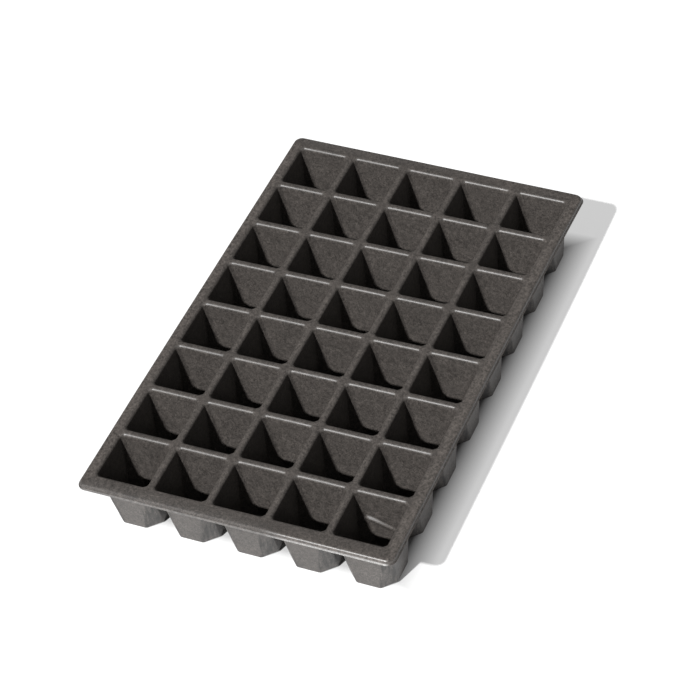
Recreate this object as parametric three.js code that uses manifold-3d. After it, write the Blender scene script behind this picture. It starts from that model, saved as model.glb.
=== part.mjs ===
// Plug tray: one thin sheet formed into 5 x 8 square tapered cells, with a flat web between
// their mouths and a flat rim that turns down into a short skirt with a small lip.
// Millimetres, +Z up. The tray stands on its cells: z = 0 is the underside of their floors,
// and the origin is the middle of the tray. X runs across it and Y along it.
// Each cell carries its own square of the web, out to the middle of the ribs around it.
// The rim is four sides and four corners around the web. Neighbours meet face to face.
import * as THREE from 'three';
import { mergeVertices } from 'three/addons/utils/BufferGeometryUtils.js';
import Module from 'manifold-3d';

const wasm = await Module();
wasm.setup();

// ---- driving dimensions ----
const COLUMNS = 5;             // across the tray, column 1 on the left (-X)
const ROWS = 8;                // along the tray, row 1 at the front (-Y)
const PITCH = 44;              // between cell centres, both ways
const MOUTH = 38.5;            // inside width of a cell at the web
const HEIGHT = 51;             // top of the web above the bench
const SHEET = 0.75;            // sheet thickness
const WALL_SLOPE = 2.25;       // how far a wall comes in from mouth to floor
const MOUTH_CORNER = 2;        // corner cut of the mouth
const FLOOR_CORNER = 8.75;     // corner cut of the floor
const DRAIN_RADIUS = 4.5;      // drain hole in each floor
const DRAIN_SIDES = 8;
const RIM_WIDTH_ENDS = 12;     // flat rim, from the outer mouths' edge to the skirt
const RIM_WIDTH_SIDES = 9.25;
const RIM_CORNER = 6;          // outer radius of the flat rim
const SKIRT_DROP = 3;          // rim top to lip top
const LIP_WIDTH = 1;           // lip beyond the skirt
const CORNER_STEPS = 6;        // steps around each corner of the rim

// ---- worked out from them ----
const WEB_X = COLUMNS * PITCH / 2;                   // half sizes of the web
const WEB_Y = ROWS * PITCH / 2;
const HALF_RIB = (PITCH - MOUTH) / 2;
const RIM_X = WEB_X - HALF_RIB + RIM_WIDTH_SIDES;    // half sizes of the flat rim
const RIM_Y = WEB_Y - HALF_RIB + RIM_WIDTH_ENDS;
const LIP_TOP = HEIGHT - SKIRT_DROP;
const LIP_UNDERSIDE = LIP_TOP - SHEET;

const plastic = new THREE.MeshStandardMaterial({ color: 0x2b2a28, roughness: 0.5, metalness: 0 });
const tray = new THREE.Group();

function addPiece(name, geometry, x = 0, y = 0) {
  const piece = new THREE.Mesh(geometry, plastic.clone());
  piece.name = name;
  piece.position.set(x, y, 0);
  tray.add(piece);
}

// ---- solids ----
function toSolid(geometry) {
  const bare = geometry.clone();
  bare.deleteAttribute('normal');
  bare.deleteAttribute('uv');
  const merged = mergeVertices(bare, 1e-5);
  return new wasm.Manifold(new wasm.Mesh({
    numProp: 3,
    vertProperties: new Float32Array(merged.attributes.position.array),
    triVerts: new Uint32Array(merged.index.array),
  }));
}

function toGeometry(solid) {
  const mesh = solid.getMesh();
  const positions = new THREE.BufferAttribute(new Float32Array(mesh.vertProperties), 3);
  const geometry = new THREE.BufferGeometry();
  geometry.setAttribute('position', positions);
  geometry.setIndex(new THREE.BufferAttribute(new Uint32Array(mesh.triVerts), 1));
  return geometry;
}

function block(lowX, lowY, lowZ, highX, highY, highZ) {
  const geometry = new THREE.BoxGeometry(highX - lowX, highY - lowY, highZ - lowZ);
  return geometry.translate((lowX + highX) / 2, (lowY + highY) / 2, (lowZ + highZ) / 2);
}

// ---- cells ----
// A square with cut corners, counter-clockwise, as eight points.
function cutSquare(halfWidth, cut) {
  const near = halfWidth - cut;
  const firstSide = [[-near, -halfWidth], [near, -halfWidth]];
  const quarterTurns = [
    ([x, y]) => [x, y],
    ([x, y]) => [-y, x],
    ([x, y]) => [-x, -y],
    ([x, y]) => [y, -x],
  ];
  return quarterTurns.flatMap((turn) => firstSide.map(turn));
}

// The solid between a lower and an upper outline with the same number of points.
function frustum(lower, bottom, upper, top) {
  const count = lower.length;
  const positions = [
    ...lower.flatMap(([x, y]) => [x, y, bottom]),
    ...upper.flatMap(([x, y]) => [x, y, top]),
  ];
  const index = [];
  for (let i = 0; i < count; i += 1) {
    const next = (i + 1) % count;
    index.push(i, next, count + next, i, count + next, count + i);
  }
  for (let i = 1; i < count - 1; i += 1) {
    index.push(0, i + 1, i, count, count + i, count + i + 1);
  }
  const geometry = new THREE.BufferGeometry();
  geometry.setAttribute('position', new THREE.Float32BufferAttribute(positions, 3));
  geometry.setIndex(index);
  return geometry;
}

// Its square of the web, four tapered walls with their corner facets, and a drained floor.
function makeCell() {
  const half = PITCH / 2;
  const mouth = MOUTH / 2;
  const floor = mouth - WALL_SLOPE;
  const tile = block(-half, -half, HEIGHT - SHEET, half, half, HEIGHT);
  const outside = frustum(
    cutSquare(floor + SHEET, FLOOR_CORNER),
    0,
    cutSquare(mouth + SHEET, MOUTH_CORNER),
    HEIGHT,
  );
  const inside = frustum(
    cutSquare(floor, FLOOR_CORNER),
    SHEET,
    cutSquare(mouth, MOUTH_CORNER),
    HEIGHT,
  );
  const drain = new THREE.CylinderGeometry(DRAIN_RADIUS, DRAIN_RADIUS, 4 * SHEET, DRAIN_SIDES);
  drain.rotateX(Math.PI / 2);
  const shell = toSolid(tile).add(toSolid(outside)).subtract(toSolid(inside));
  return toGeometry(shell.subtract(toSolid(drain)));
}

const cell = makeCell();
for (let row = 1; row <= ROWS; row += 1) {
  for (let column = 1; column <= COLUMNS; column += 1) {
    const x = (column - (COLUMNS + 1) / 2) * PITCH;
    const y = (row - (ROWS + 1) / 2) * PITCH;
    addPiece(`cell_row${row}_column${column}`, cell, x, y);
  }
}

// ---- rim ----
// The flat rim's outline, moved out by the given amount.
function rimOutline(ShapeClass, out) {
  const x = RIM_X - RIM_CORNER;
  const y = RIM_Y - RIM_CORNER;
  const radius = RIM_CORNER + out;
  const outline = new ShapeClass();
  outline.absarc(x, y, radius, 0, Math.PI / 2);
  outline.absarc(-x, y, radius, Math.PI / 2, Math.PI);
  outline.absarc(-x, -y, radius, Math.PI, 3 * Math.PI / 2);
  outline.absarc(x, -y, radius, 3 * Math.PI / 2, 2 * Math.PI);
  outline.closePath();
  return outline;
}

function band(out, inside, bottom, top) {
  const shape = rimOutline(THREE.Shape, out);
  shape.holes.push(inside);
  const depth = top - bottom;
  const settings = { depth, bevelEnabled: false, curveSegments: CORNER_STEPS };
  return toSolid(new THREE.ExtrudeGeometry(shape, settings).translate(0, 0, bottom));
}

// Flat, skirt and lip, as one ring around the web.
function makeRim() {
  const webEdge = new THREE.Path([
    new THREE.Vector2(WEB_X, WEB_Y),
    new THREE.Vector2(-WEB_X, WEB_Y),
    new THREE.Vector2(-WEB_X, -WEB_Y),
    new THREE.Vector2(WEB_X, -WEB_Y),
  ]);
  const flat = band(0, webEdge, HEIGHT - SHEET, HEIGHT);
  const skirt = band(0, rimOutline(THREE.Path, -SHEET), LIP_UNDERSIDE, HEIGHT);
  const lip = band(LIP_WIDTH, rimOutline(THREE.Path, -SHEET), LIP_UNDERSIDE, LIP_TOP);
  return flat.add(skirt).add(lip);
}

const rim = makeRim();
const FAR_X = RIM_X + 2 * LIP_WIDTH;
const FAR_Y = RIM_Y + 2 * LIP_WIDTH;

function addRimPiece(name, lowX, lowY, highX, highY) {
  const region = toSolid(block(lowX, lowY, 0, highX, highY, 2 * HEIGHT));
  addPiece(name, toGeometry(rim.intersect(region)));
}

addRimPiece('rim_front', -WEB_X, -FAR_Y, WEB_X, -WEB_Y);
addRimPiece('rim_back', -WEB_X, WEB_Y, WEB_X, FAR_Y);
addRimPiece('rim_left', -FAR_X, -WEB_Y, -WEB_X, WEB_Y);
addRimPiece('rim_right', WEB_X, -WEB_Y, FAR_X, WEB_Y);
addRimPiece('rim_corner_front_left', -FAR_X, -FAR_Y, -WEB_X, -WEB_Y);
addRimPiece('rim_corner_front_right', WEB_X, -FAR_Y, FAR_X, -WEB_Y);
addRimPiece('rim_corner_back_left', -FAR_X, WEB_Y, -WEB_X, FAR_Y);
addRimPiece('rim_corner_back_right', WEB_X, WEB_Y, FAR_X, FAR_Y);

export default tray;
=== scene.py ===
"""Plug tray: one thin formed sheet, its matt plastic, and a plain studio.

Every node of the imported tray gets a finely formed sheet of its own: forty cells, four rim
sides and four rim corners. Shapes are worked out in millimetres and made in metres, in the
tray's own frame. Neighbouring sheets share the points along their common edge.
"""
import math

import bmesh
import bpy
import numpy as np
from mathutils import Matrix, Vector, noise


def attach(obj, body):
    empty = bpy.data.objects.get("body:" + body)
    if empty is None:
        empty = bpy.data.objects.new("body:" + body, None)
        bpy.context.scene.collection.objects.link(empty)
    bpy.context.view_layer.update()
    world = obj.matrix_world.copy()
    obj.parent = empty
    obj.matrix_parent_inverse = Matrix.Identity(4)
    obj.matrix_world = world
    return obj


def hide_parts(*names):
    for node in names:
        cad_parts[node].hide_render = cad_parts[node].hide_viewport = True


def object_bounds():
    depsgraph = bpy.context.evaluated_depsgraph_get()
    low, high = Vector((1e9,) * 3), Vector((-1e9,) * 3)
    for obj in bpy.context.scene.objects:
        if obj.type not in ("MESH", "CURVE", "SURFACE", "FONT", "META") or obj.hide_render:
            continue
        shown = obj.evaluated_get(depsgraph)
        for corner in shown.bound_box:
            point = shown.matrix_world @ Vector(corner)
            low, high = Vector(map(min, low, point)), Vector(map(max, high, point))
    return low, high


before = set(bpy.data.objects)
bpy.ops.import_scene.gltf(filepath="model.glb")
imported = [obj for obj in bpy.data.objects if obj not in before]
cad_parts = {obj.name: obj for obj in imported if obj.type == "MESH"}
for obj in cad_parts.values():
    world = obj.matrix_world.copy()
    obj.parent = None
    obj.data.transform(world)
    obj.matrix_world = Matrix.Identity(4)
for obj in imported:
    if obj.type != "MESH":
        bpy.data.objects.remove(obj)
cad_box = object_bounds()

MM = 0.001

# ---- the tray's sizes, in millimetres ----
ROWS, COLUMNS = 8, 5
PITCH = 44.0
HEIGHT = cad_box[1][2] / MM              # top of the web
SHEET = 0.75
MOUTH = 38.5                             # inside width of a cell at the web
WALL_SLOPE = 2.25                        # how far a wall comes in from mouth to floor
MOUTH_CORNER, FLOOR_CORNER = 2.0, 8.75   # corner cuts
DRAIN_RADIUS = 4.5
WEB_X, WEB_Y = COLUMNS * PITCH / 2, ROWS * PITCH / 2
LIP_WIDTH = 1.0
END_REACH = cad_box[1][1] / MM - WEB_Y - LIP_WIDTH    # from the web's edge to the skirt
SIDE_REACH = cad_box[1][0] / MM - WEB_X - LIP_WIDTH
SKIRT_DROP = 3.0
RIM_CORNER = 6.0                         # outer radius of the flat rim

# ---- how the sheet is bent ----
MOUTH_BEND = 2.2                         # radius of a mouth's rolled edge, on top
FLOOR_BEND = 1.75                        # radius between wall and floor, inside the cell
RIM_BEND = 2.1                           # radius of the rim's top edge
LIP_BEND = 0.4                           # radius between skirt and lip, on top
LIP_SLOPE = math.radians(42)             # the lip flares out and down at this angle
FACET_EDGE = 0.9                         # how much of a facet's edge is rounded, each way

# ---- how it has warped and been knocked ----
WEB_SAG, SAG_SIZE, SAG_SEED = 0.3, 60.0, 0.3    # unevenness of web and rim, always downwards
DROOPS = {(1, 1): 5.0, (-1, -1): 1.0}    # how far the back right and front left corners droop
DROOP_START = -30.0                      # where along Y a droop begins, for a back corner
WALL_WAVE, WAVE_SIZE = 0.25, 15.0        # unevenness of the cell walls, across the sheet
CREASED_CELL = (1, 5)                    # row and column of the cell with a creased far wall
CREASE_START, CREASE_END = np.array((-14.0, 28.2)), np.array((9.0, 20.8))   # across, height
CREASE_DEPTH = 1.5
FAR_WALL = 0.9                           # points past this share of the half width are on it
CREASE_RUNOUT = 0.15                     # how far it fades past its ends, as a share of its length
CREASE_TAPER = (1.15, 0.4)               # its strength at its start and end
LEDGE, DIP = (0.8, 1.3, 1.6), (-0.5, -1.3, 1.2)     # share of the depth, place below, width

# ---- where it is rubbed with painted light, dull, or streaked with painted shade ----
RIB_WEAR_AND_PAINTED_LIGHT, SIDE_WEAR_AND_PAINTED_LIGHT = 1, 1.3             # wear of the ribs and of the long sides of the rim, with painted light that makes their tops lighter
EDGE_WEAR_AND_PAINTED_HIGHLIGHT, LIP_WEAR_AND_PAINTED_HIGHLIGHT = (0.8, 1.8), (0.7, 0.5)    # wear of the end rims' bends, from top to lip, with painted highlight on them
DULL = -2.5                              # on the left their wear and painted highlight are multiplied by this
DULL_TO, SHINY_FROM = 20, 38             # where along X that changes
STREAK_AND_PAINTED_SHADE_FADE = ((0, 0.25, 1, 1.4), (0, 1, 1, 0))     # share of the way down the wall, strength of the streaks and painted shade

# ---- how finely it is meshed ----
BEND_STEPS = 7
ARC_STEPS = 4
FLAT_STEPS, SKIRT_STEPS = 4, 2
SIDE_POINTS, WALL_STEPS = 12, 16
CREASED_SIDE_POINTS, CREASED_WALL_STEPS = 52, 84
FLOOR_SHARES = (0.25, 0.55, 0.8, 1.0)
SHARP_ANGLE = math.radians(40)
WELD = 0.001                             # points closer than this are one point


# ---- outlines ----
def corner_points(half, cut):
    """The front right corner of a square with cut corners, both ends of the cut rounded."""
    radius = FACET_EDGE / math.tan(math.pi / 8)
    first = []
    for step in range(ARC_STEPS + 1):
        angle = math.radians(-90 + 45 * step / ARC_STEPS)
        x = half - cut - FACET_EDGE + radius * math.cos(angle)
        y = -half + radius + radius * math.sin(angle)
        first.append((x, y))
    second = [(-y, -x) for x, y in reversed(first)]
    middle = ((first[-1][0] + second[0][0]) / 2, (first[-1][1] + second[0][1]) / 2)
    return first + [middle] + second


def cut_square(half, cut, side_points):
    """Points round a cell, counter-clockwise: each side's own points, then its right corner."""
    corner = corner_points(half, cut)
    end = corner[0][0]
    steps = np.arange(1, side_points + 1) / (side_points + 1)
    quarter = [(x, -half) for x in -end + 2 * end * steps] + corner
    turns = ((1, 0), (0, 1), (-1, 0), (0, -1))
    return np.array([(c * x - s * y, s * x + c * y) for c, s in turns for x, y in quarter])


def wall_half(height):
    """Half width of the inside of a cell's wall at a height."""
    return MOUTH / 2 - WALL_SLOPE * (HEIGHT - height) / (HEIGHT - SHEET)


def wall_cut(height):
    """Corner cut of the inside of a cell's wall at a height."""
    depth = (HEIGHT - height) / (HEIGHT - SHEET)
    return MOUTH_CORNER + (FLOOR_CORNER - MOUTH_CORNER) * depth


def level_outline(half, height, side_points):
    """The outline that runs parallel to the wall at this height, at this half width."""
    beyond_wall = half - wall_half(height)
    cut = wall_cut(height) + (2 - math.sqrt(2)) * beyond_wall
    return cut_square(half, cut, side_points)


def on_square(points, half):
    """The points pushed straight out from the middle on to a square."""
    return points * (half / np.abs(points).max(axis=1))[:, None]


def on_circle(points, radius):
    return points * (radius / np.linalg.norm(points, axis=1))[:, None]


def at_height(points, height):
    return np.column_stack([points, np.full(len(points), height)])


# ---- sections ----
def bend(centre, radius, first, last, wear_and_painted_light):
    """Rows of (distance, height, wear and painted light) round a bend. Angles are from straight
    up, inwards.

    The last argument is the bend's wear and painted light at its two ends.
    """
    share = np.linspace(0, 1, BEND_STEPS + 1)
    angle = first + (last - first) * share
    wear_and_painted_light = np.interp(share, (0, 1), wear_and_painted_light)
    return np.column_stack(
        [centre[0] - radius * np.sin(angle), centre[1] + radius * np.cos(angle), wear_and_painted_light]
    )


def between(start, end, steps):
    share = (np.arange(1, steps) / steps)[:, None]
    return start * (1 - share) + end * share


def cell_section(thickness, wall_steps):
    """Mouth bend, wall and floor bend, this far below the upper surface of the sheet."""
    lean = math.atan2(WALL_SLOPE, HEIGHT - SHEET)
    upright = math.pi / 2 - lean
    mouth_height = HEIGHT - MOUTH_BEND
    floor_height = SHEET + FLOOR_BEND
    mouth_centre = (wall_half(mouth_height) + MOUTH_BEND / math.cos(lean), mouth_height)
    floor_centre = (wall_half(floor_height) - FLOOR_BEND / math.cos(lean), floor_height)
    over = bend(mouth_centre, MOUTH_BEND - thickness, 0, upright, wear_and_painted_light=(RIB_WEAR_AND_PAINTED_LIGHT, 0))
    under = bend(floor_centre, -FLOOR_BEND - thickness, upright, 0, wear_and_painted_light=(0, 0))
    wall = between(over[-1], under[0], wall_steps)
    return np.concatenate([over, wall, under])


def rim_section(thickness, reach):
    """Flat, bend, skirt and flared lip of the rim, this far below its upper surface."""
    outwards, upwards = math.sin(LIP_SLOPE), math.cos(LIP_SLOPE)
    lip_edge = np.array([
        reach + LIP_WIDTH - thickness * outwards,
        HEIGHT - SKIRT_DROP - SHEET + (SHEET - thickness) * upwards,
        LIP_WEAR_AND_PAINTED_HIGHLIGHT[1],
    ])
    flare = LIP_WIDTH - LIP_BEND * (1 - outwards)
    lip_height = HEIGHT - SKIRT_DROP - SHEET + (SHEET + LIP_BEND) * upwards
    lip_centre = (reach + LIP_BEND, lip_height + flare * math.tan(LIP_SLOPE))
    rim_centre = (reach - RIM_BEND, HEIGHT - RIM_BEND)
    over = bend(rim_centre, RIM_BEND - thickness, 0, -math.pi / 2, EDGE_WEAR_AND_PAINTED_HIGHLIGHT)
    under = bend(lip_centre, -LIP_BEND - thickness, -math.pi / 2, -LIP_SLOPE, LIP_WEAR_AND_PAINTED_HIGHLIGHT)
    web_edge = np.array([0, HEIGHT - thickness, 0])
    flat = between(web_edge, over[0], FLAT_STEPS)
    skirt = between(over[-1], under[0], SKIRT_STEPS)
    return np.concatenate([[web_edge], flat, over, skirt, under, [lip_edge]])


# ---- unevenness ----
def web_drop(x, y):
    """How far the web and rim lie below their level: a slight sag, and two drooping corners."""
    swell = noise.noise(Vector((x / SAG_SIZE, y / SAG_SIZE, SAG_SEED)))
    drop = WEB_SAG * (1 + swell) / 2
    for (right, back), droop in DROOPS.items():
        across = max(0, (right * x + WEB_X) / (2 * WEB_X))
        along = max(0, (back * y - DROOP_START) / (WEB_Y - DROOP_START))
        drop += droop * across * along ** 2
    return drop


def sagged(points):
    """How far each point of the sheet drops: all of the web's drop on top, none at the floor.

    The rim drops in full down to the underside of its lip.
    """
    drop = np.zeros_like(points)
    flat = points.reshape(-1, 3)
    depth = HEIGHT - SKIRT_DROP - 2 * SHEET
    drops = [-web_drop(x, y) * min(1, max(0, z - SHEET) / depth) for x, y, z in flat]
    drop[..., 2] = np.reshape(drops, points.shape[:-1])
    return drop


def waved(points, wall_share):
    """How far each point of a cell's wall is pushed across the sheet, nothing at its ends."""
    along = np.roll(points, -1, axis=1) - np.roll(points, 1, axis=1)
    across = np.stack([along[..., 1], -along[..., 0], np.zeros(along.shape[:2])], axis=-1)
    across /= np.linalg.norm(across, axis=-1, keepdims=True)
    swell = [noise.noise(Vector(p) / WAVE_SIZE) for p in points.reshape(-1, 3)]
    size = WALL_WAVE * np.sin(math.pi * wall_share)[:, None]
    return across * (size * np.reshape(swell, points.shape[:2]))[..., None]


def creased(points):
    """The push of a crease across a cell's far wall: a dip, and a ledge below it."""
    line = CREASE_END - CREASE_START
    length = np.linalg.norm(line)
    off = points[..., (0, 2)] - CREASE_START
    along = (off @ line) / length ** 2
    below = (off[..., 0] * line[1] - off[..., 1] * line[0]) / length
    inside = np.minimum(along, 1 - along)
    fade = np.interp(inside, (-CREASE_RUNOUT, CREASE_RUNOUT), (0, 1))
    fade *= np.interp(along, (0, 1), CREASE_TAPER)
    profile = sum(share * np.exp(-((below - place) / width) ** 2)
                  for share, place, width in (LEDGE, DIP))
    far_wall = points[..., 1] > FAR_WALL * wall_half(0)
    push = np.zeros_like(points)
    push[..., 1] = -CREASE_DEPTH * profile * fade * far_wall
    return push


# ---- sheets ----
def make_sheet(node, top, bottom, wear_and_painted_light, streaked_and_painted_shade=None, around=False):
    """A closed sheet between two grids of points, (rows, points, 3), that stands for a node.

    around joins each row's last point to its first. The wear, with painted light, has one value
    for each point of top, and the streaks, with painted shade, one for each point of bottom.
    """
    rows, count = top.shape[:2]
    below = rows * count
    plain = np.zeros(below)
    steps = count if around else count - 1

    def at(row, i):
        return row * count + i % count

    faces = []
    for row in range(rows - 1):
        for i in range(steps):
            quad = [at(row, i), at(row, i + 1), at(row + 1, i + 1), at(row + 1, i)]
            faces.append(quad)
            faces.append([below + corner for corner in reversed(quad)])
    for i in range(steps):
        for row in (0, rows - 1):
            edge = (at(row, i), at(row, i + 1))
            faces.append([*edge, below + edge[1], below + edge[0]])
    if not around:
        for row in range(rows - 1):
            for i in (0, count - 1):
                edge = (at(row, i), at(row + 1, i))
                faces.append([*edge, below + edge[1], below + edge[0]])

    mesh = bpy.data.meshes.new(node)
    points = np.concatenate([top.reshape(-1, 3), bottom.reshape(-1, 3)]) * MM
    mesh.from_pydata(points.tolist(), [], faces)
    streaks_and_painted_shade = plain if streaked_and_painted_shade is None else np.ravel(streaked_and_painted_shade)
    layers = {"wear_and_painted_light": (np.ravel(wear_and_painted_light), plain), "streaked_and_painted_shade": (plain, streaks_and_painted_shade)}
    for name, values in layers.items():
        layer = mesh.attributes.new(name, "FLOAT", "POINT")
        layer.data.foreach_set("value", np.concatenate(values).astype(np.float32))

    shape = bmesh.new()
    shape.from_mesh(mesh)
    bmesh.ops.remove_doubles(shape, verts=shape.verts, dist=WELD * MM)
    bmesh.ops.recalc_face_normals(shape, faces=shape.faces)
    shape.to_mesh(mesh)
    shape.free()
    mesh.shade_smooth()
    mesh.set_sharp_from_angle(angle=SHARP_ANGLE)
    mesh.materials.append(tray_plastic)

    sheet = bpy.data.objects.new("formed_" + node, mesh)
    bpy.context.scene.collection.objects.link(sheet)
    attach(sheet, "root")
    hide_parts(node)
    return sheet


def cell_grid(thickness, side_points=SIDE_POINTS, wall_steps=WALL_STEPS):
    """Points of a cell's sheet, from its tile's edge over the mouth and down to the drain."""
    section = cell_section(thickness, wall_steps)
    outlines = [
        (level_outline(half, height, side_points), height) for half, height, _ in section
    ]
    brink, floor_height = outlines[-1]
    drain = on_circle(brink, DRAIN_RADIUS)
    edge = (on_square(outlines[0][0], PITCH / 2), HEIGHT - thickness)
    floor = [(brink * (1 - share) + drain * share, floor_height) for share in FLOOR_SHARES]
    return np.array([at_height(*ring) for ring in [edge] + outlines + floor])


def cell_rows(wall_steps):
    """For each row of a cell's grid: its wear and painted light, and its share of the way down the
    wall.

    The share is below 0 above the wall and over 1 below it.
    """
    section_wear_and_painted_light = cell_section(0, wall_steps)[:, 2]
    wear_and_painted_light = np.concatenate([[RIB_WEAR_AND_PAINTED_LIGHT], section_wear_and_painted_light, np.zeros(len(FLOOR_SHARES))])
    share = (np.arange(len(wear_and_painted_light)) - BEND_STEPS - 1) / wall_steps
    return wear_and_painted_light, share


def facet_streaks_and_painted_shade(wall_share, side_points):
    """How streaked and darkened by painted shade each point of the outside of a cell is: only its
    corner facets are.
    """
    corner_count = len(corner_points(MOUTH / 2, MOUTH_CORNER))
    around = np.tile(np.repeat((0, 1), (side_points, corner_count)), 4)
    return np.outer(np.interp(wall_share, *STREAK_AND_PAINTED_SHADE_FADE), around)


def make_cell(row, column):
    """One cell with its half of the ribs. The ribs are rubbed and lightened with painted light
    where they run lengthways.
    """
    knocked = (row, column) == CREASED_CELL
    side_points = CREASED_SIDE_POINTS if knocked else SIDE_POINTS
    wall_steps = CREASED_WALL_STEPS if knocked else WALL_STEPS
    centre = np.array([(column - (COLUMNS + 1) / 2) * PITCH, (row - (ROWS + 1) / 2) * PITCH, 0])
    top, bottom = (cell_grid(thickness, side_points, wall_steps) for thickness in (0, SHEET))
    row_wear_and_painted_light, wall_share = cell_rows(wall_steps)
    push = sagged(top + centre) + waved(top + centre, np.clip(wall_share, 0, 1))
    if knocked:
        push += creased(top)
    push += centre
    squares = top[..., :2] ** 2
    # wear with painted light, on the ribs where they run lengthways
    wear_and_painted_light = row_wear_and_painted_light[:, None] * squares[..., 0] / squares.sum(axis=-1)
    # painted shade with streaks on the outside corner facets
    streaked_and_painted_shade = facet_streaks_and_painted_shade(wall_share, side_points)
    name = f"cell_row{row}_column{column}"
    make_sheet(name, top + push, bottom + push, wear_and_painted_light, streaked_and_painted_shade, around=True)


def edge_offsets():
    """Where the points of a cell's tile lie along its side, from the middle of the side."""
    ring = cell_grid(0)[0]
    side = ring[np.isclose(ring[:, 0], PITCH / 2)]
    return np.unique(np.round(side[:, 1], 6))


def rim_wear_and_painted_light(grid, section, lengthways):
    """Wear and painted light of each point of a rim's grid: painted highlight on the bends at the
    ends, painted light on top along the sides.

    lengthways is 0 at the tray's ends and 1 along its sides, for each point of a row.
    """
    shine = np.interp(grid[..., 0], (DULL_TO, SHINY_FROM), (DULL, 1))
    top = np.clip((section[:, 1] - HEIGHT + RIM_BEND) / RIM_BEND, 0, 1) ** 2
    bends = shine * np.outer(section[:, 2], 1 - lengthways)
    return bends + SIDE_WEAR_AND_PAINTED_LIGHT * np.outer(top, lengthways)


def make_rim_side(node, cells, web_edge, reach, turn):
    """A side of the rim, made along the front and turned into place about the tray's middle."""
    centres = (np.arange(cells) - (cells - 1) / 2) * PITCH
    along = np.unique(np.round(np.add.outer(centres, edge_offsets()), 6))
    turned = np.array(Matrix.Rotation(turn, 3, "Z")).T
    grids = []
    for thickness in (0, SHEET):
        section = rim_section(thickness, reach)
        grid = [[(x, -web_edge - out, height) for x in along] for out, height, _ in section]
        grids.append(np.array(grid) @ turned)
    push = sagged(grids[0])
    lengthways = np.full(len(along), abs(math.sin(turn)))
    wear_and_painted_light = rim_wear_and_painted_light(grids[0], rim_section(0, reach), lengthways)
    make_sheet(node, grids[0] + push, grids[1] + push, wear_and_painted_light)


def corner_outline(end_out, side_out):
    """A rounded corner out from the web's corner, from its front end to its right end."""
    beyond = end_out - END_REACH
    radius = RIM_CORNER + beyond if beyond > 0 else RIM_CORNER * end_out / END_REACH
    x, y = side_out - radius, radius - end_out
    front = [(x * share, -end_out) for share in (0, 0.5)]
    angles = np.linspace(-math.pi / 2, 0, 2 * BEND_STEPS + 1)
    arc = [(x + radius * math.cos(a), y + radius * math.sin(a)) for a in angles]
    side = [(side_out, y * share) for share in (0.5, 0)]
    return np.array(front + arc + side)


def make_rim_corner(node, right, back):
    """A corner of the rim, made at the front right and mirrored into place."""
    mirror = np.array([1 if right else -1, -1 if back else 1, 1])
    web_corner = np.array([WEB_X, -WEB_Y, 0])
    grids = []
    for thickness in (0, SHEET):
        sections = zip(rim_section(thickness, END_REACH), rim_section(thickness, SIDE_REACH))
        rings = [at_height(corner_outline(end[0], side[0]), end[1]) for end, side in sections]
        grids.append((np.array(rings) + web_corner) * mirror)
    push = sagged(grids[0])
    lengthways = np.linspace(0, 1, grids[0].shape[1])
    wear_and_painted_light = rim_wear_and_painted_light(grids[0], rim_section(0, END_REACH), lengthways)
    make_sheet(node, grids[0] + push, grids[1] + push, wear_and_painted_light)


# ---- the plastic ----
PLASTIC_COLOUR = (0.0568, 0.0500, 0.0452)
PLAIN_DETAIL = 2.0                       # of a noise texture
CLOUD_RANGE = (0.3, 0.7)                 # nearly all of a noise texture's values lie in here
# each has a size in millimetres, and how much lighter and darker than the plain colour it gets
GRAIN, MOTTLE = (0.8, 0.55), (2.4, 0.28)
CLOUDS = ((28.0, 0.07), (8.0, 0.1))
ROUGHNESS, ROUGHNESS_SIZE, ROUGHNESS_DETAIL = (0.43, 0.53), 3.0, 3.0
POLISH = 0.1                             # how much smoother a worn place is
# rubs, lightened partly by painted light, and streaks, darkened partly by painted shade, have
# clearer edges, so they use a narrower range of the noise
RUB_RANGE, RUB_SIZE, RUB_AND_PAINTED_LIGHT_GAIN = (0.35, 0.65), 1.8, 0.7
STREAK_RANGE, STREAK_SIZE, STREAK_AND_PAINTED_SHADE_DARKER = (0.4, 0.6), 2.2, (-0.1, 0.7)
STREAK_STRETCH = (1, 1, 0.12)            # streaks are drawn out upwards
PLASTIC_IOR, PLASTIC_SPECULAR = 1.59, 0.6
BUMP_STRENGTH, BUMP_HEIGHT = 0.6, 0.07   # the height is in millimetres


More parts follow.
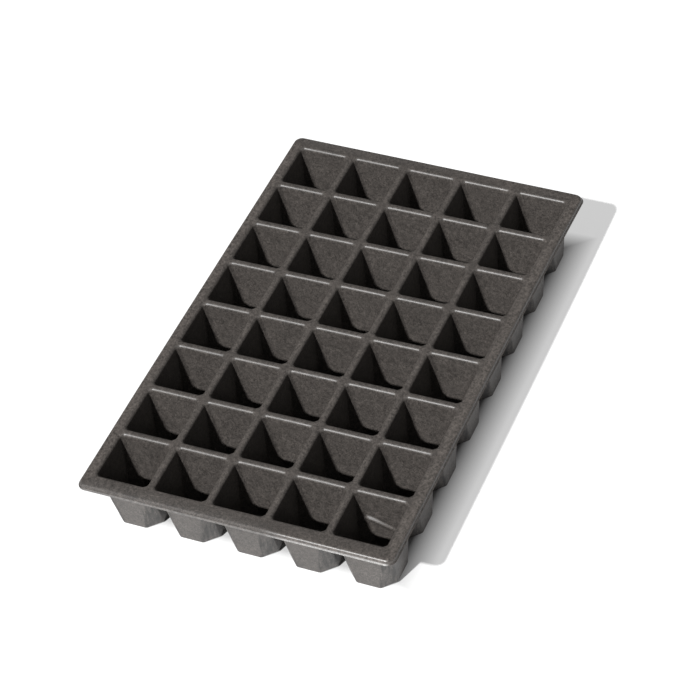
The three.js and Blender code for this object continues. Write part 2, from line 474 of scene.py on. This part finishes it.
def make_plastic():
    """Near-black recycled sheet: fine grain, faint clouding, rubbed places lightened partly by
    painted light, and streaked corner facets darkened partly by painted shade.
    """
    material = bpy.data.materials.new("tray_plastic")
    material.use_nodes = True
    nodes, links = material.node_tree.nodes, material.node_tree.links
    shader = nodes["Principled BSDF"]
    place = nodes.new("ShaderNodeTexCoord").outputs["Object"]

    def cloud(size_mm, detail=PLAIN_DETAIL, where=place):
        texture = nodes.new("ShaderNodeTexNoise")
        texture.inputs["Scale"].default_value = 1 / (size_mm * MM)
        texture.inputs["Detail"].default_value = detail
        links.new(where, texture.inputs["Vector"])
        return texture.outputs["Fac"]

    def spread(value, low, high, to_low, to_high):
        ranged = nodes.new("ShaderNodeMapRange")
        for name, number in zip(("From Min", "From Max", "To Min", "To Max"),
                                (low, high, to_low, to_high)):
            ranged.inputs[name].default_value = number
        links.new(value, ranged.inputs["Value"])
        return ranged.outputs["Result"]

    def combine(operation, first, second):
        maths = nodes.new("ShaderNodeMath")
        maths.operation = operation
        for socket, value in zip(maths.inputs, (first, second)):
            if isinstance(value, float):
                socket.default_value = value
            else:
                links.new(value, socket)
        return maths.outputs["Value"]

    def painted(name):
        attribute = nodes.new("ShaderNodeAttribute")
        attribute.attribute_name = name
        return attribute.outputs["Fac"]

    wear_and_painted_light, streaked_and_painted_shade = painted("wear_and_painted_light"), painted("streaked_and_painted_shade")

    patches = [cloud(size) for size, _ in (GRAIN, MOTTLE, *CLOUDS)]
    tones = [spread(patch, *CLOUD_RANGE, 1 - amount, 1 + amount)
             for patch, (_, amount) in zip(patches, (GRAIN, MOTTLE, *CLOUDS))]
    tone = tones[0]
    for layer in tones[1:]:
        tone = combine("MULTIPLY", tone, layer)

    stretched = nodes.new("ShaderNodeVectorMath")
    stretched.operation = "MULTIPLY"
    stretched.inputs[1].default_value = STREAK_STRETCH
    links.new(place, stretched.inputs[0])
    streaks_and_painted_shade = cloud(STREAK_SIZE, where=stretched.outputs["Vector"])
    # painted shade with streaks: the outside corner facets are darkened down the wall
    streak_and_shade_darkening = combine("MULTIPLY", streaked_and_painted_shade, spread(streaks_and_painted_shade, *STREAK_RANGE, *STREAK_AND_PAINTED_SHADE_DARKER))
    tone = combine("MULTIPLY", tone, combine("SUBTRACT", 1.0, streak_and_shade_darkening))

    # painted light with wear: rubbed patches lighten the colour where wear is above 0, on the
    # lengthways ribs, the long rim sides and the end rims' bends where highlights fall
    rubs_and_painted_light = spread(cloud(RUB_SIZE), *RUB_RANGE, 0.0, RUB_AND_PAINTED_LIGHT_GAIN)
    tone = combine("ADD", tone, combine("MULTIPLY", combine("MAXIMUM", wear_and_painted_light, 0.0), rubs_and_painted_light))
    colour = nodes.new("ShaderNodeVectorMath")
    colour.operation = "SCALE"
    colour.inputs[0].default_value = PLASTIC_COLOUR
    links.new(tone, colour.inputs["Scale"])
    links.new(colour.outputs["Vector"], shader.inputs["Base Color"])

    rough = spread(cloud(ROUGHNESS_SIZE, ROUGHNESS_DETAIL), *CLOUD_RANGE, *ROUGHNESS)
    rough = combine("SUBTRACT", rough, combine("MULTIPLY", wear_and_painted_light, POLISH))
    links.new(rough, shader.inputs["Roughness"])
    shader.inputs["IOR"].default_value = PLASTIC_IOR
    shader.inputs["Specular IOR Level"].default_value = PLASTIC_SPECULAR

    bump = nodes.new("ShaderNodeBump")
    bump.inputs["Strength"].default_value = BUMP_STRENGTH
    bump.inputs["Distance"].default_value = BUMP_HEIGHT * MM
    links.new(combine("ADD", patches[0], patches[1]), bump.inputs["Height"])
    links.new(bump.outputs["Normal"], shader.inputs["Normal"])
    return material


tray_plastic = make_plastic()

for row in range(1, ROWS + 1):
    for column in range(1, COLUMNS + 1):
        make_cell(row, column)
make_rim_side("rim_front", COLUMNS, WEB_Y, END_REACH, 0)
make_rim_side("rim_right", ROWS, WEB_X, SIDE_REACH, math.pi / 2)
make_rim_side("rim_back", COLUMNS, WEB_Y, END_REACH, math.pi)
make_rim_side("rim_left", ROWS, WEB_X, SIDE_REACH, -math.pi / 2)
make_rim_corner("rim_corner_front_left", right=False, back=False)
make_rim_corner("rim_corner_front_right", right=True, back=False)
make_rim_corner("rim_corner_back_left", right=False, back=True)
make_rim_corner("rim_corner_back_right", right=True, back=True)


# ---- stage ----
FLOOR_HALF = 15000                       # all in millimetres
FLOOR_GAP = 0.1
PAINTED_SHADE_BOX = ((-103, -160), (100, 170))       # painted shade: the part of the floor under the tray doesn't glow
FULL_PAINTED_GLOW_BOX = ((-105, -169), (124, 190))     # outside this the floor glows in full; between the two the glow fades, a painted contact shadow
# painted light: how strongly the floor glows outside the painted shade, filling in the shadow on
# it
FLOOR_PAINTED_GLOW = 0.55
FLOOR_COLOUR = (0.5, 0.5, 0.5, 1)
FLOOR_ROUGHNESS, FLOOR_SPECULAR = 0.9, 0.1
WHITE = (1, 1, 1, 1)

# the key and the camera, in metres and degrees
KEY_AZIMUTH, KEY_ELEVATION = -13.2, 45.6
KEY_DISTANCE, KEY_SIZE = 12.0, 0.38
KEY_LEVEL = 1.66                         # what a white surface facing the key sends back
AMBIENT_LEVEL = 0.12
SENSOR_WIDTH, FOCAL_LENGTH = 36.0, 123.7        # in millimetres
CAMERA_AIM = Vector((0.0145, -0.0163, HEIGHT * MM))
CAMERA_AZIMUTH, CAMERA_ELEVATION, CAMERA_ROLL = 30.3, 45.0, -10.0
CAMERA_DISTANCE = 1.683


def direction(azimuth, elevation):
    """Unit vector from the tray towards a camera or light. Azimuth 0 is in front, -Y."""
    turn, lift = math.radians(azimuth), math.radians(elevation)
    level = math.cos(lift)
    return Vector((math.sin(turn) * level, -math.cos(turn) * level, math.sin(lift)))


def aimed(name, data, target, azimuth, elevation, distance, roll=0.0):
    """An object at that distance from the target, looking at it."""
    thing = bpy.data.objects.new(name, data)
    towards = direction(azimuth, elevation)
    rotation = towards.to_track_quat("Z", "Y").to_matrix()
    rotation = rotation @ Matrix.Rotation(math.radians(roll), 3, "Z")
    thing.matrix_world = Matrix.Translation(target + towards * distance) @ rotation.to_4x4()
    bpy.context.scene.collection.objects.link(thing)
    return thing


def make_floor():
    """A pale table with a painted glow round the tray, so that the shadow on it stays faint, and
    painted shade under the tray where it doesn't glow.
    """
    material = bpy.data.materials.new("studio_floor")
    material.use_nodes = True
    shader = material.node_tree.nodes["Principled BSDF"]
    shader.inputs["Base Color"].default_value = FLOOR_COLOUR
    shader.inputs["Roughness"].default_value = FLOOR_ROUGHNESS
    shader.inputs["Specular IOR Level"].default_value = FLOOR_SPECULAR
    shader.inputs["Emission Color"].default_value = WHITE
    # painted light: the glow strength comes from a point attribute of the floor's mesh
    painted_glow = material.node_tree.nodes.new("ShaderNodeAttribute")
    painted_glow.attribute_name = "painted_glow"
    material.node_tree.links.new(painted_glow.outputs["Fac"], shader.inputs["Emission Strength"])

    edge = ((-FLOOR_HALF, -FLOOR_HALF), (FLOOR_HALF, FLOOR_HALF))
    points = [(x * MM, y * MM, -FLOOR_GAP * MM)
              for (left, front), (right, back) in (PAINTED_SHADE_BOX, FULL_PAINTED_GLOW_BOX, edge)
              for x, y in ((left, front), (right, front), (right, back), (left, back))]
    faces = [(0, 1, 2, 3)]
    for inner in (0, 4):
        for side in range(4):
            after = (side + 1) % 4
            outer = inner + 4
            faces.append((outer + side, outer + after, inner + after, inner + side))
    mesh = bpy.data.meshes.new("studio_floor")
    mesh.from_pydata(points, [], faces)
    strength = mesh.attributes.new("painted_glow", "FLOAT", "POINT")
    strength.data.foreach_set("value", [0.0] * 4 + [FLOOR_PAINTED_GLOW] * 8)
    mesh.materials.append(material)
    floor = bpy.data.objects.new("studio_floor", mesh)
    bpy.context.scene.collection.objects.link(floor)


def make_key(target):
    """A small far lamp, so that its shadows are sharp."""
    light = bpy.data.lights.new("key", "AREA")
    light.shape = "DISK"
    light.size = KEY_SIZE
    light.energy = KEY_LEVEL * math.pi ** 2 * KEY_DISTANCE ** 2
    aimed("key", light, target, KEY_AZIMUTH, KEY_ELEVATION, KEY_DISTANCE)


def make_world():
    """A low, even, white fill."""
    world = bpy.data.worlds.new("studio")
    world.use_nodes = True
    background = world.node_tree.nodes["Background"]
    background.inputs["Color"].default_value = WHITE
    background.inputs["Strength"].default_value = AMBIENT_LEVEL
    bpy.context.scene.world = world


def make_camera():
    lens = bpy.data.cameras.new("camera")
    lens.sensor_width = SENSOR_WIDTH
    lens.lens = FOCAL_LENGTH
    return aimed("camera", lens, CAMERA_AIM, CAMERA_AZIMUTH, CAMERA_ELEVATION, CAMERA_DISTANCE,
                 CAMERA_ROLL)


make_floor()
make_world()
make_key(target=Vector((0, 0, HEIGHT * MM)))
bpy.context.scene.camera = make_camera()
bpy.context.scene.view_settings.view_transform = "Standard"
